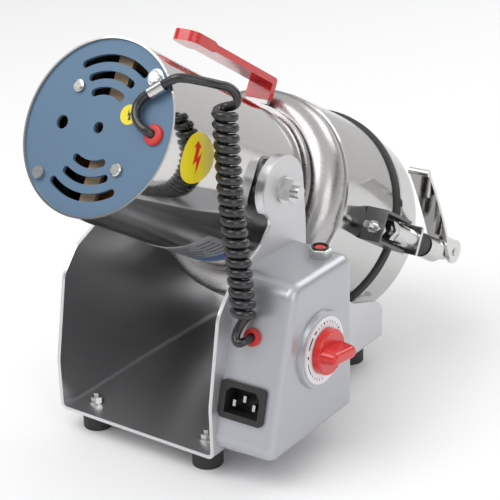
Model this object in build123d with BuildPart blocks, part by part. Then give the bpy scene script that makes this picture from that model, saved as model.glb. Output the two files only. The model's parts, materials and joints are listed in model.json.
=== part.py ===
"""Swing-type hammer mill: a grinding bowl on a motor that tilts in a sheet-metal stand.

Row frame: origin on the floor at the centre of the four feet, +Z up, +Y towards the lid,
+X towards the control box. The mill's own axis runs from the lid to the motor's end plate:
in mill coordinates x is across, y is up and z points rearwards from the trunnions.
"""

import os
from math import cos, radians, sin, tan

from build123d import *

os.makedirs("parts", exist_ok=True)

# ---------------------------------------------------------------- driving sizes (mm, degrees)
running_gap = 0.05  # radial clearance of a pin that turns
free_gap = 0.5  # between faces that pass each other

# stand
base_length = 202.0
stand_width = 126.0
sheet = 2.5
bend_radius = 5.0
foot_height = 14.5
foot_radius = 10.0
foot_inset = 16.2  # from the base's ends
foot_side_inset = 17.4
foot_stud_depth = 5.5
foot_stud_radius = 2.0
pivot_height = 166.5
pivot_setback = 82.5  # from the base's rear edge
ear_radius = 21.5
ear_rim = 2.5
ear_rim_depth = 4.5

# mill
tilt = 30.6  # rest angle, lid down
housing_radius = 54.5
housing_wall = 1.2
housing_rear = 113.5
housing_front = -33.0
end_plate_face = 112.0
end_plate_thickness = 2.5
flange_radius = housing_radius + 2.5
flange_rear = -36.0
flange_front = -40.0
bowl_bore = 5.1
shoulder_radius = 71.0
shoulder_round = 14.0
bowl_back = -43.0
bowl_seam = -63.0
bowl_rim_radius = 75.0
bowl_rear_radius = bowl_rim_radius - 3.0
bowl_rim = -127.0
bowl_wall_thickness = 2.0
gasket_radius = bowl_rim_radius + 2.0
gasket_height = 7.0
lid_flange_radius = bowl_rim_radius + 1.5
lid_flange = 3.0
lid_side_radius = bowl_rim_radius - 0.4
lid_front_radius = bowl_rim_radius - 2.0
lid_depth = 39.0  # gasket to front face
lid_corner = 8.0
lid_wall = 1.5

# rotor and motor
shaft_radius = 5.0
armature_radius = 25.5
air_gap = 0.8
stator_radius = 50.0
stator_rear = 70.0
stator_front = 20.0
bearing_radius = 11.0
bearing_width = 9.0
commutator_radius = 13.0
fan_radius = 41.0
blade_reach = 58.0

# trunnions
stud_radius = 4.0
boss_radius = 9.0
boss_end = stand_width / 2 - sheet - 0.7  # where the boss meets its bush
ear_bore = 6.0

# control box
box_depth = 40.4
box_draft = 2.7
box_wall = 2.5
box_low = 19.0
box_high = 129.0
box_front = 17.2  # from the pivot
box_rear_low = -83.4
box_rear_high = -50.8
knob_y = -23.2
knob_z = 77.0
knob_radius = 15.0
dial_radius = 21.6
dial_boss_radius = 25.2
dial_boss_height = 2.5
inlet_x = stand_width / 2 + 16.4
inlet_z = 55.2
button_x = stand_width / 2 + 26.2
button_y = -0.6
button_radius = 4.2
grommet_x = stand_width / 2 + 16.5
grommet_z = 94.5

# handle
handle_width = 17.6
handle_bar_height = shoulder_radius + 0.8
handle_bar_thickness = 3.0
handle_rear = 60.0
grip_skin = 0.8

# latch, on the box side, and hinge, on the other
latch_x = bowl_rim_radius + 9.5
latch_pin = bowl_rim - 71.0
latch_pin_up = 4.0
rod_radius = 4.0
sleeve_radius = 7.0
buffer_radius = 8.0
collar_radius = 8.5
hinge_x = -bowl_rim_radius - 11.0
hinge_z = bowl_rim + 2.0
hinge_turn = -50.0  # about the mill's axis, from the side opposite the latch up to the hinge
hinge_pin_radius = 2.5
knuckle_radius = 5.0

# power lead
lead_diameter = 5.4
curl_diameter = 15.5
grommet_u = 40.7
grommet_v = 2.0
clip_slack = 0.4
clip_sheet = 0.8

# ---------------------------------------------------------------- frames
half_width = stand_width / 2
rear_edge = -base_length / 2
front_edge = base_length / 2
pivot_y = rear_edge + pivot_setback
base_top = foot_height + sheet
foot_x = half_width - foot_side_inset
foot_y = base_length / 2 - foot_inset

pivot = Vector(0, pivot_y, pivot_height)
across_dir = Vector(1, 0, 0)
up_dir = Vector(0, sin(radians(tilt)), cos(radians(tilt)))
rear_dir = Vector(0, -cos(radians(tilt)), sin(radians(tilt)))
mill_axis = Axis(pivot, rear_dir)
# profile plane: x is the radius, y is the place along the mill's axis
mill_section = Plane(origin=pivot, x_dir=up_dir, z_dir=across_dir)


def place(x, y, z):
    """A point given in mill coordinates."""
    return pivot + across_dir * x + up_dir * y + rear_dir * z


def across(z, x=0, y=0):
    """The plane square to the mill's axis at z, facing rearwards."""
    return Plane(origin=place(x, y, z), x_dir=across_dir, z_dir=rear_dir)


def sideways(x, y=0, z=0):
    """The plane that faces +X: its x runs up, its y rearwards."""
    return Plane(origin=place(x, y, z), x_dir=up_dir, z_dir=across_dir)


def upward(y, x=0, z=0):
    """The plane that faces up in mill coordinates: its x runs along X."""
    return Plane(origin=place(x, y, z), x_dir=across_dir, z_dir=up_dir)


def block(x, y, z, mode=Mode.ADD):
    """A block between pairs of mill coordinates, in the open part."""
    with BuildSketch(across(z[0], (x[0] + x[1]) / 2, (y[0] + y[1]) / 2)) as outline:
        Rectangle(x[1] - x[0], y[1] - y[0])
    extrude(outline.sketch, amount=z[1] - z[0], mode=mode)


def disc(plane, radius, length, bore=0.0, mode=Mode.ADD):
    """A cylinder or ring standing on a plane, in the open part."""
    with BuildSketch(plane) as outline:
        Circle(radius)
        if bore:
            Circle(bore, mode=Mode.SUBTRACT)
    extrude(outline.sketch, amount=length, mode=mode)


def hexagon(plane, flats, length, bore=0.0):
    """A hexagon nut standing on a plane, in the open part."""
    with BuildSketch(plane) as outline:
        RegularPolygon(flats / 2, 6, major_radius=False)
        if bore:
            Circle(bore, mode=Mode.SUBTRACT)
    extrude(outline.sketch, amount=length)


def turned(profile, mode=Mode.ADD):
    """A body of revolution about the mill's axis, from (radius, z) points, in the open part."""
    with BuildSketch(mill_section) as outline:
        with BuildLine():
            Polyline(*profile, close=True)
        make_face()
    revolve(outline.sketch, axis=mill_axis, mode=mode)


def finish(builder, name, turn=0.0):
    """Label a finished piece and write it, turned about the mill's axis if asked."""
    if turn:
        builder.part = builder.part.rotate(mill_axis, turn)
    builder.part.label = name
    export_step(builder.part, f"parts/{name}.step")
    print(name, "solids", len(builder.part.solids()), "volume", round(builder.part.volume))


feet = [(sx * foot_x, sy * foot_y) for sx in (-1, 1) for sy in (-1, 1)]

# ---------------------------------------------------------------- stand frame
# one bent sheet: the base and both walls, cut to the side outline
wall_outline = [
    (rear_edge, foot_height),
    (rear_edge, 50.0),
    (pivot_y - 71.0, pivot_height - 59.5),
    (pivot_y - 58.0, pivot_height - 44.5),
    (pivot_y - 26.0, pivot_height - 30.0),
    (pivot_y - 15.0, pivot_height - 19.0),
    (pivot_y - 15.0, pivot_height),
    (pivot_y + ear_radius, pivot_height),
    (pivot_y + 23.3, pivot_height - 26.0),
    (pivot_y + 23.3, pivot_height - 62.5),
    (front_edge - 39.0, 57.0),
    (front_edge - 19.0, 50.5),
    (front_edge, 43.0),
    (front_edge, foot_height),
]
outline_rounds = {1: 30.0, 2: 12.0, 3: 10.0, 4: 14.0, 9: 14.0, 10: 20.0, 12: 11.0}
# the lid swings past the front edge, so the base is scooped out and the far wall drops there
lid_scoop = (30.0, 12.0)  # half width and depth
wall_relief = [(front_edge - 25.0, 54.0), (front_edge + 1.0, 35.3), (front_edge + 1.0, 54.0)]
with BuildPart() as stand_frame:
    with BuildSketch(Plane.XZ):
        with Locations((0, foot_height)):
            Rectangle(stand_width, 2 * pivot_height, align=(Align.CENTER, Align.MIN))
        fillet(vertices().group_by(Axis.Y)[0], bend_radius)
        with BuildSketch(mode=Mode.SUBTRACT) as inner:
            with Locations((0, base_top)):
                Rectangle(stand_width - 2 * sheet, 2 * pivot_height, align=(Align.CENTER, Align.MIN))
            fillet(inner.vertices().group_by(Axis.Y)[0], bend_radius - sheet)
    extrude(amount=base_length / 2, both=True)
    with BuildSketch(Plane.YZ):
        with BuildLine():
            Polyline(*wall_outline, close=True)
        make_face()
        for index, size in outline_rounds.items():
            spot = wall_outline[index]
            corner = vertices().sort_by_distance(spot)[0]
            fillet(corner, size)
        with Locations((pivot_y, pivot_height)):
            Circle(ear_radius)
    extrude(amount=stand_width, both=True, mode=Mode.INTERSECT)
    for side in (-1, 1):
        rim_start = side * (half_width - sheet)
        with BuildSketch(Plane.YZ.offset(rim_start)):
            with Locations((pivot_y, pivot_height)):
                Circle(ear_radius)
                Circle(ear_radius - ear_rim, mode=Mode.SUBTRACT)
            with Locations((pivot_y, pivot_height - 11.0)):
                Rectangle(3 * ear_radius, 2 * ear_radius, align=(Align.CENTER, Align.MAX), mode=Mode.SUBTRACT)
        extrude(amount=-side * ear_rim_depth)
    with BuildSketch(Plane.YZ):
        with Locations((pivot_y, pivot_height)):
            Circle(ear_bore)
    extrude(amount=stand_width, both=True, mode=Mode.SUBTRACT)
    with BuildSketch(Plane.XY):
        with Locations(*feet):
            Circle(foot_stud_radius + 0.2)
        with Locations((0, front_edge)):
            Ellipse(*lid_scoop)
    extrude(amount=base_top + 1, mode=Mode.SUBTRACT)
    with BuildSketch(Plane.YZ):
        with BuildLine():
            Polyline(*wall_relief, close=True)
        make_face()
    extrude(amount=-stand_width, mode=Mode.SUBTRACT)
finish(stand_frame, "stand_frame")

# ---------------------------------------------------------------- feet
with BuildPart() as rubber_feet:
    with BuildSketch(Plane.XY):
        with Locations(*feet):
            Circle(foot_radius)
    extrude(amount=foot_height)
    chamfer(edges().group_by(Axis.Z)[0], 0.4)
    with BuildSketch(Plane.XY.offset(foot_height)):
        with Locations(*feet):
            Circle(foot_stud_radius)
    extrude(amount=-foot_stud_depth, mode=Mode.SUBTRACT)
finish(rubber_feet, "rubber_feet")

nut_stack = 7.0  # stud above the sheet
with BuildPart() as foot_fasteners:
    for x, y in feet:
        disc(Plane((x, y, foot_height - foot_stud_depth)), foot_stud_radius, foot_stud_depth + sheet + nut_stack)
        disc(Plane((x, y, base_top)), 5.0, 1.0)
        hexagon(Plane((x, y, base_top + 1.0)), 7.0, 3.2)
finish(foot_fasteners, "foot_fasteners")

# ---------------------------------------------------------------- control box
draft = tan(radians(box_draft))
rear_low = Vector(0, pivot_y + box_rear_low, box_low)
rear_high = Vector(0, pivot_y + box_rear_high, box_high)
rear_run = (rear_high - rear_low).normalized()
rear_out = Vector(0, -rear_run.Z, rear_run.Y)
rear_normal = rear_out * cos(radians(box_draft)) + across_dir * sin(radians(box_draft))
top_normal = Vector(sin(radians(box_draft)), 0, cos(radians(box_draft)))


def on_rear_face(x, z):
    """The plane on the box's sloping rear face at this x and height."""
    share = (z - box_low) / (box_high - box_low)
    foot = rear_low + (rear_high - rear_low) * share
    spot = foot - rear_out * ((x - half_width) * draft)
    return Plane(origin=(x, spot.Y, spot.Z), x_dir=across_dir - rear_normal * rear_normal.X, z_dir=rear_normal)


def on_top_face(x, y):
    """The plane on the box's top face."""
    return Plane(origin=(x, y, box_high - (x - half_width) * draft), x_dir=(0, 1, 0), z_dir=top_normal)


box_face = half_width + box_depth
knob_face = box_face + dial_boss_height
knob_at = (pivot_y + knob_y, knob_z)
box_outline = [
    (rear_low.Y, box_low),
    (rear_high.Y, box_high),
    (pivot_y + box_front, box_high),
    (pivot_y + box_front, box_low),
]
inlet_seat = on_rear_face(inlet_x, inlet_z)
button_seat = on_top_face(button_x, pivot_y + button_y)
grommet_seat = on_rear_face(grommet_x, grommet_z)
grommet_hole = 4.0
bushing_radius = 5.4
box_rounds = (10.0, 13.0, 9.0, 7.0)
box_edge_round = 6.0


def box_block(inset, edge_round):
    """The box's tapered block in the open part, its faces drawn in by inset."""
    with BuildSketch(Plane.YZ.offset(half_width)) as outline:
        with BuildLine():
            Polyline(*box_outline, close=True)
        make_face()
        for spot, size in zip(box_outline, box_rounds):
            corner = outline.vertices().sort_by_distance(spot)[0]
            fillet(corner, size)
        if inset:
            offset(amount=-inset, mode=Mode.REPLACE)
    extrude(outline.sketch, amount=box_depth - inset, taper=box_draft)
    fillet(faces().sort_by(Axis.X)[-1].edges(), edge_round)


with BuildPart() as box_cavity:
    box_block(box_wall, box_edge_round - box_wall)
with BuildPart() as control_box:
    box_block(0, box_edge_round)
    add(box_cavity.part, mode=Mode.SUBTRACT)
    with BuildSketch(Plane.YZ.offset(box_face)):
        with Locations(knob_at):
            Circle(dial_boss_radius)
    extrude(amount=dial_boss_height, taper=15)
    with BuildSketch(Plane.YZ.offset(box_face - 2 * box_wall)):
        with Locations(knob_at):
            Circle(5.0)
    extrude(amount=4 * box_wall, mode=Mode.SUBTRACT)
    with BuildSketch(inlet_seat):
        RectangleRounded(27.6, 20.0, 1.5)
    extrude(amount=2 * box_wall, both=True, mode=Mode.SUBTRACT)
    disc(button_seat.offset(-2 * box_wall), bushing_radius + 0.1, 4 * box_wall, mode=Mode.SUBTRACT)
    disc(grommet_seat.offset(-2 * box_wall), grommet_hole, 4 * box_wall, mode=Mode.SUBTRACT)
finish(control_box, "control_box")

# ---------------------------------------------------------------- power inlet
bezel = 2.2
body_depth = 18.0
socket_depth = 15.5
with BuildPart() as inlet_socket:
    with BuildSketch(inlet_seat):
        RectangleRounded(31.6, 24.0, 3.0)
    extrude(amount=bezel)
    with BuildSketch(inlet_seat):
        RectangleRounded(27.2, 19.6, 1.5)
    extrude(amount=-body_depth)
    with BuildSketch(inlet_seat.offset(bezel)) as socket_mouth:
        Rectangle(24.0, 16.4)
        chamfer(socket_mouth.vertices().group_by(Axis.Y)[-1], 3.5)
    extrude(amount=-socket_depth, mode=Mode.SUBTRACT)
    with BuildSketch(inlet_seat.offset(-body_depth)):
        with Locations((-7, -2), (7, -2), (0, 2)):
            Rectangle(2.0, 4.0)
    extrude(amount=body_depth, mode=Mode.SUBTRACT)
finish(inlet_socket, "inlet_socket")

with BuildPart() as inlet_pins:
    with BuildSketch(inlet_seat.offset(-body_depth - 7.0)):
        with Locations((-7, -2), (7, -2), (0, 2)):
            Rectangle(2.0, 4.0)
    extrude(amount=body_depth + 7.0 - 1.0)
finish(inlet_pins, "inlet_pins")

# ---------------------------------------------------------------- timer, dial and knob
dial_thickness = 0.8
knob_gap = 0.6
timer_face = box_face - box_wall
timer_depth = 18.0
knob_start = knob_face + dial_thickness + knob_gap
knob_base = 5.0
grip_height = 10.0
grip_angle = -8.0
with BuildPart() as timer_body:
    with BuildSketch(Plane.YZ.offset(timer_face)):
        with Locations(knob_at):
            Rectangle(34.0, 34.0)
    extrude(amount=-timer_depth)
    with BuildSketch(Plane.YZ.offset(timer_face)):
        with Locations(knob_at):
            Circle(4.9)
    extrude(amount=box_wall + dial_boss_height + dial_thickness)
    with BuildSketch(Plane.YZ.offset(timer_face - timer_depth / 2)):
        with Locations(knob_at):
            Circle(3.0 + running_gap)
    extrude(amount=timer_depth, mode=Mode.SUBTRACT)
finish(timer_body, "timer_body")

with BuildPart() as dial_plate:
    with BuildSketch(Plane.YZ.offset(knob_face)):
        with Locations(knob_at):
            Circle(dial_radius)
            Circle(5.0, mode=Mode.SUBTRACT)
    extrude(amount=dial_thickness)
finish(dial_plate, "dial_plate")

with BuildPart() as timer_shaft:
    with BuildSketch(Plane.YZ.offset(timer_face - timer_depth / 2 + 0.3)):
        with Locations(knob_at):
            Circle(3.0)
    extrude(amount=knob_start + 8.0 - (timer_face - timer_depth / 2 + 0.3))
finish(timer_shaft, "timer_shaft")

with BuildPart() as timer_knob:
    with BuildSketch(Plane.YZ.offset(knob_start)):
        with Locations(knob_at):
            Circle(knob_radius)
    extrude(amount=knob_base, taper=4)
    fillet(faces().sort_by(Axis.X)[-1].edges(), 1.2)
    with BuildSketch(Plane.YZ.offset(knob_start + knob_base)):
        with Locations(Location(knob_at, grip_angle)):
            SlotOverall(2 * knob_radius - 2.0, 10.0)
    extrude(amount=grip_height, taper=7)
    fillet(faces().sort_by(Axis.X)[-1].edges(), 2.4)
    with BuildSketch(Plane.YZ.offset(knob_start)):
        with Locations(knob_at):
            Circle(3.0)
    extrude(amount=8.0, mode=Mode.SUBTRACT)
finish(timer_knob, "timer_knob")

# ---------------------------------------------------------------- reset breaker
breaker_drop = box_wall
collar_height = 7.0
collar_flats = 12.4
button_travel = 2.5
with BuildPart() as breaker_body:
    disc(button_seat.offset(-breaker_drop - 24.0), 8.0, 24.0)
    disc(button_seat.offset(-breaker_drop), bushing_radius, breaker_drop + collar_height)
    disc(button_seat.offset(-breaker_drop - 20.0), button_radius + running_gap, 40.0, mode=Mode.SUBTRACT)
finish(breaker_body, "breaker_body")

with BuildPart() as breaker_collar:
    hexagon(button_seat, collar_flats, collar_height - 1.0, bore=bushing_radius)
    chamfer(faces().sort_by(Axis((0, 0, 0), tuple(top_normal)))[-1].outer_wire().edges(), 0.6)
finish(breaker_collar, "breaker_collar")

with BuildPart() as reset_button:
    disc(button_seat.offset(-breaker_drop - 20.0 + button_travel + 1.0), button_radius, 20.0 + 5.5)
    fillet(faces().sort_by(Axis.Z)[-1].edges(), 1.6)
finish(reset_button, "reset_button")

# ---------------------------------------------------------------- power lead
def corner_radii(route):
    """The radius of each bend, as large as its two runs allow."""
    radii = []
    for before, here, after in zip(route, route[1:], route[2:]):
        turn = (here - before).get_angle(after - here)
        shorter = min((here - before).length, (after - here).length)
        radii.append(0.45 * shorter / tan(radians(turn) / 2))
    return radii


def lead(route, diameter):
    """A round tube along a route of straight runs and tangent arcs, in the open part."""
    points = [Vector(*p) for p in route]
    radii = corner_radii(points)
    with BuildLine() as run:
        FilletPolyline(*points, radius=radii)
    path = run.wire()
    with BuildSketch(Plane(origin=path @ 0, z_dir=path % 0)) as outline:
        Circle(diameter / 2)
    sweep(outline.sketch, path=path)
    print("   bends", [round(r, 1) for r in radii], "length", round(path.length, 1))


# out of the end plate, round to the clip and over the housing's rim
lead_lift = lead_diameter / 2 + clip_slack + clip_sheet  # lead's axis above the plate inside the clip
lead_level = end_plate_face + lead_lift
plate_route = [
    place(grommet_u, grommet_v, end_plate_face - 2.4),
    place(grommet_u, grommet_v, end_plate_face + 1.8),
    place(38.0, 3.0, end_plate_face + 5.2),
    place(33.2, 4.9, end_plate_face + 5.4),
    place(27.6, 9.4, end_plate_face + 4.4),
    place(25.7, 15.7, lead_level),
    place(28.2, 21.0, lead_level),
    place(32.5, 24.4, lead_level),
    place(36.7, 27.7, lead_level),
    place(41.1, 31.0, end_plate_face + 4.5),
    place(45.0, 33.5, end_plate_face + 4.6),
]
# from there down to the curl, hanging free
upper_route = [
    plate_route[-1],
    place(48.4, 35.68, end_plate_face + 4.69),
    Vector(53.0, -96.8, 255.9),
    Vector(57.0, -91.8, 254.0),
    Vector(60.6, -86.4, 251.8),
    Vector(63.6, -81.3, 249.6),
    Vector(65.9, -77.1, 248.1),
    Vector(67.0, -75.1, 244.6),
    Vector(66.8, -75.5, 240.4),
    Vector(65.6, -78.0, 237.0),
]
curl_route = [
    Vector(65.5, -80.0, 239.0),
    Vector(67.5, -81.5, 205.0),
    Vector(70.5, -83.0, 172.0),
    Vector(74.6, -82.6, 137.0),
    Vector(79.0, -86.5, 108.0),
]
exit_dir = grommet_seat.z_dir
box_route = [
    curl_route[-1] + Vector(0, 0, 2.0),
    curl_route[-1] + Vector(0.3, 0.0, -4.5),
    grommet_seat.origin + exit_dir * 6.6 + Vector(0, 0, 1.6),
    grommet_seat.origin + exit_dir * 1.6,
    grommet_seat.origin - exit_dir * 2.4,
]
with BuildPart() as cord_curl:
    lead(curl_route, curl_diameter)
finish(cord_curl, "cord_curl")

with BuildPart() as cord_plate_run:
    lead(plate_route, lead_diameter)
finish(cord_plate_run, "cord_plate_run")

with BuildPart() as cord_upper_run:
    lead(upper_route, lead_diameter)
    add(cord_curl.part, mode=Mode.SUBTRACT)
finish(cord_upper_run, "cord_upper_run")

with BuildPart() as cord_box_run:
    lead(box_route, lead_diameter)
    add(cord_curl.part, mode=Mode.SUBTRACT)
finish(cord_box_run, "cord_box_run")

# ---------------------------------------------------------------- box grommet
with BuildPart() as box_grommet:
    disc(grommet_seat, 5.6, 2.0)
    disc(grommet_seat.offset(-box_wall), grommet_hole, box_wall)
    disc(grommet_seat.offset(-box_wall - 1.5), 5.2, 1.5)
    add(cord_box_run.part, mode=Mode.SUBTRACT)
finish(box_grommet, "box_grommet")

# ---------------------------------------------------------------- trunnions
with BuildPart() as trunnion_studs:
    for side in (-1, 1):
        disc(Plane(origin=(side * (housing_radius - 4.5), pivot_y, pivot_height), z_dir=(side, 0, 0)),
             boss_radius, boss_end - housing_radius + 4.5)
        disc(Plane(origin=(side * boss_end, pivot_y, pivot_height), z_dir=(side, 0, 0)),
             stud_radius, half_width + 12.5 - boss_end)
finish(trunnion_studs, "trunnion_studs")

with BuildPart() as trunnion_bushes:
    for side in (-1, 1):
        disc(Plane(origin=(side * (boss_end + 0.05), pivot_y, pivot_height), z_dir=(side, 0, 0)),
             10.0, half_width - sheet - boss_end - 0.05, bore=stud_radius + running_gap)
        disc(Plane(origin=(side * (half_width - sheet), pivot_y, pivot_height), z_dir=(side, 0, 0)),
             ear_bore, sheet, bore=stud_radius + running_gap)
finish(trunnion_bushes, "trunnion_bushes")

washer = 1.6
with BuildPart() as trunnion_nuts:
    for side in (-1, 1):
        disc(Plane(origin=(side * (half_width + 0.05), pivot_y, pivot_height), z_dir=(side, 0, 0)),
             8.5, washer, bore=stud_radius)
        hexagon(Plane(origin=(side * (half_width + 0.05 + washer), pivot_y, pivot_height), z_dir=(side, 0, 0)),
                13.0, 6.5, bore=stud_radius)
finish(trunnion_nuts, "trunnion_nuts")

# ---------------------------------------------------------------- motor housing and end plate
stud_plane = Plane(origin=pivot, x_dir=up_dir, z_dir=across_dir)
with BuildPart() as motor_housing:
    disc(across(housing_front), housing_radius, housing_rear - housing_front, bore=housing_radius - housing_wall)
    with BuildSketch(stud_plane):
        Circle(boss_radius)
    extrude(amount=2 * housing_radius, both=True, mode=Mode.SUBTRACT)
finish(motor_housing, "motor_housing")

plate_radius = housing_radius - housing_wall
plate_back = end_plate_face - end_plate_thickness
slot_rows = ((22.0, 26.5), (31.7, 27.5), (41.7, 32.0))  # radius, half angle
slot_width = 4.8
long_screws = [(-21.9, 21.9), (21.9, -21.9)]
short_screws = [(-33.3, -33.3), (31.0, 34.3)]
with BuildPart() as rear_end_plate:
    with BuildSketch(across(plate_back)):
        Circle(plate_radius)
        for radius, half_angle in slot_rows:
            for middle in (90.0, 270.0):
                with BuildLine(mode=Mode.PRIVATE) as slot_line:
                    CenterArc((0, 0), radius, middle - half_angle, 2 * half_angle)
                SlotArc(slot_line.wire(), slot_width, mode=Mode.SUBTRACT)
        Circle(3.5, mode=Mode.SUBTRACT)
        with Locations((-27.5, -1.0)):
            Circle(4.2, mode=Mode.SUBTRACT)
        with Locations((grommet_u, grommet_v)):
            Circle(4.5, mode=Mode.SUBTRACT)
        with Locations(*long_screws, *short_screws):
            Circle(2.1, mode=Mode.SUBTRACT)
    extrude(amount=end_plate_thickness)
finish(rear_end_plate, "rear_end_plate")

with BuildPart() as plate_screws:
    for index, (x, y) in enumerate(long_screws + short_screws):
        seat = end_plate_face + (clip_sheet if index == 3 else 0.0)
        depth = seat - (stator_front + 25.0) if index < 2 else 8.0
        disc(across(seat - depth, x, y), 2.0, depth)
        with BuildSketch(across(seat, x, y)):
            Circle(3.9)
        extrude(amount=2.4)
        chamfer(faces().sort_by(mill_axis)[-1].edges(), 0.7)
finish(plate_screws, "plate_screws")

with BuildPart() as plate_grommet:
    disc(across(end_plate_face, grommet_u, grommet_v), 6.2, 2.6)
    fillet(faces().sort_by(mill_axis)[-1].edges(), 1.8)
    disc(across(plate_back, grommet_u, grommet_v), 4.5, end_plate_thickness)
    disc(across(plate_back - 1.5, grommet_u, grommet_v), 5.8, 1.5)
    add(cord_plate_run.part, mode=Mode.SUBTRACT)
finish(plate_grommet, "plate_grommet")

# the clip's tab lies on the plate under its screw and folds over the lead
clip_at = (36.7, 27.6)
clip_turn = 38.0
clip_half = 5.0
with BuildPart() as cord_clip:
    clip_plane = Plane(origin=place(clip_at[0], clip_at[1], end_plate_face), x_dir=(
        across_dir * cos(radians(clip_turn)) + up_dir * sin(radians(clip_turn))), z_dir=rear_dir)
    loop_plane = Plane(origin=clip_plane.origin - clip_plane.x_dir * clip_half, x_dir=clip_plane.y_dir,
                       z_dir=clip_plane.x_dir)
    with BuildSketch(loop_plane):
        with Locations((0, lead_lift)):
            Circle(lead_lift)
    extrude(amount=2 * clip_half)
    screw_spot = clip_plane.to_local_coords(place(short_screws[1][0], short_screws[1][1], end_plate_face))
    with BuildSketch(clip_plane):
        Rectangle(2 * clip_half, screw_spot.Y, align=(Align.CENTER, Align.MIN))
        with Locations((screw_spot.X, screw_spot.Y)):
            Circle(clip_half + 0.4)
            Circle(2.1, mode=Mode.SUBTRACT)
    extrude(amount=clip_sheet)
    with BuildSketch(loop_plane):
        with Locations((0, lead_lift)):
            Circle(lead_diameter / 2 + clip_slack)
    extrude(amount=2 * clip_half, mode=Mode.SUBTRACT)
    add(cord_plate_run.part, mode=Mode.SUBTRACT)
finish(cord_clip, "cord_clip")

# ---------------------------------------------------------------- motor inside
bridge_low = 101.0
bridge_top = 104.0
with BuildPart() as bearing_bridge:
    block((-5.5, 5.5), (-46.0, 46.0), (bridge_low, bridge_top))
    for end in (-1, 1):
        block((-5.5, 5.5), sorted((end * 42.0, end * 46.0)), (stator_rear, bridge_low))
    disc(across(bridge_top - 10.0), 14.0, 10.0)
    disc(across(bridge_top - 10.0), bearing_radius, bearing_width, mode=Mode.SUBTRACT)
    disc(across(bridge_top - 2.0), shaft_radius + 1.0, 4.0, mode=Mode.SUBTRACT)
finish(bearing_bridge, "bearing_bridge")

with BuildPart() as motor_bearings:
    disc(across(bridge_top - 10.0), bearing_radius, bearing_width, bore=shaft_radius + running_gap)
    disc(across(flange_front + 1.0), bearing_radius, bearing_width, bore=shaft_radius + running_gap)
finish(motor_bearings, "motor_bearings")

pole_angles = (135.0, 315.0)
pole_half = 38.0
stator_bore = armature_radius + air_gap
yoke_inner = 42.5
with BuildPart() as stator_core:
    with BuildSketch(across(stator_front)):
        Circle(stator_radius)
        Circle(yoke_inner, mode=Mode.SUBTRACT)
        for angle in pole_angles:
            with BuildLine():
                inner_arc = CenterArc((0, 0), stator_bore, angle - pole_half, 2 * pole_half)
                outer_arc = CenterArc((0, 0), yoke_inner + 1.0, angle - pole_half, 2 * pole_half)
                Line(inner_arc @ 0, outer_arc @ 0)
                Line(inner_arc @ 1, outer_arc @ 1)
            make_face()
        with Locations(*long_screws):
            Circle(2.1, mode=Mode.SUBTRACT)
    extrude(amount=stator_rear - stator_front)
finish(stator_core, "stator_core")

coil_half = 90.0 - pole_half - 3.0
with BuildPart() as field_coils:
    for angle in pole_angles:
        with BuildSketch(across(stator_front - 7.0)):
            with BuildLine():
                inner_arc = CenterArc((0, 0), stator_bore + 2.5, angle + 90.0 - coil_half, 2 * coil_half)
                outer_arc = CenterArc((0, 0), yoke_inner - 0.5, angle + 90.0 - coil_half, 2 * coil_half)
                Line(inner_arc @ 0, outer_arc @ 0)
                Line(inner_arc @ 1, outer_arc @ 1)
            make_face()
        extrude(amount=stator_rear - stator_front + 14.0)
finish(field_coils, "field_coils")

holder_z = (81.0, 91.0)
with BuildPart() as brush_holders:
    for side in (-1, 1):
        block(sorted((side * (commutator_radius + 3.0), side * 44.0)), (-6.0, 6.0), (holder_z[0] - 2, holder_z[1] + 2))
        block(sorted((side * (commutator_radius + 2.0), side * 40.0)), (-4.0, 4.0), holder_z, mode=Mode.SUBTRACT)
finish(brush_holders, "brush_holders")

with BuildPart() as carbon_brushes:
    for side in (-1, 1):
        block(sorted((side * (commutator_radius + 0.3), side * 34.0)), (-4.0, 4.0), holder_z)
finish(carbon_brushes, "carbon_brushes")

# ---------------------------------------------------------------- front bracket
with BuildPart() as front_bracket:
    turned([
        (plate_radius, housing_front + 15.0),
        (plate_radius, housing_front),
        (plate_radius - 1.0, housing_front),
        (plate_radius - 1.0, flange_rear),
        (flange_radius, flange_rear),
        (flange_radius, flange_front),
        (shaft_radius + 1.0, flange_front),
        (shaft_radius + 1.0, flange_front + 1.0),
        (bearing_radius, flange_front + 1.0),
        (bearing_radius, flange_front + 1.0 + bearing_width),
        (bearing_radius + 4.0, flange_front + 1.0 + bearing_width),
        (bearing_radius + 4.0, flange_front + 6.0),
        (plate_radius - 5.0, flange_front + 6.0),
        (plate_radius - 5.0, housing_front + 15.0),
    ])
finish(front_bracket, "front_bracket")

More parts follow.
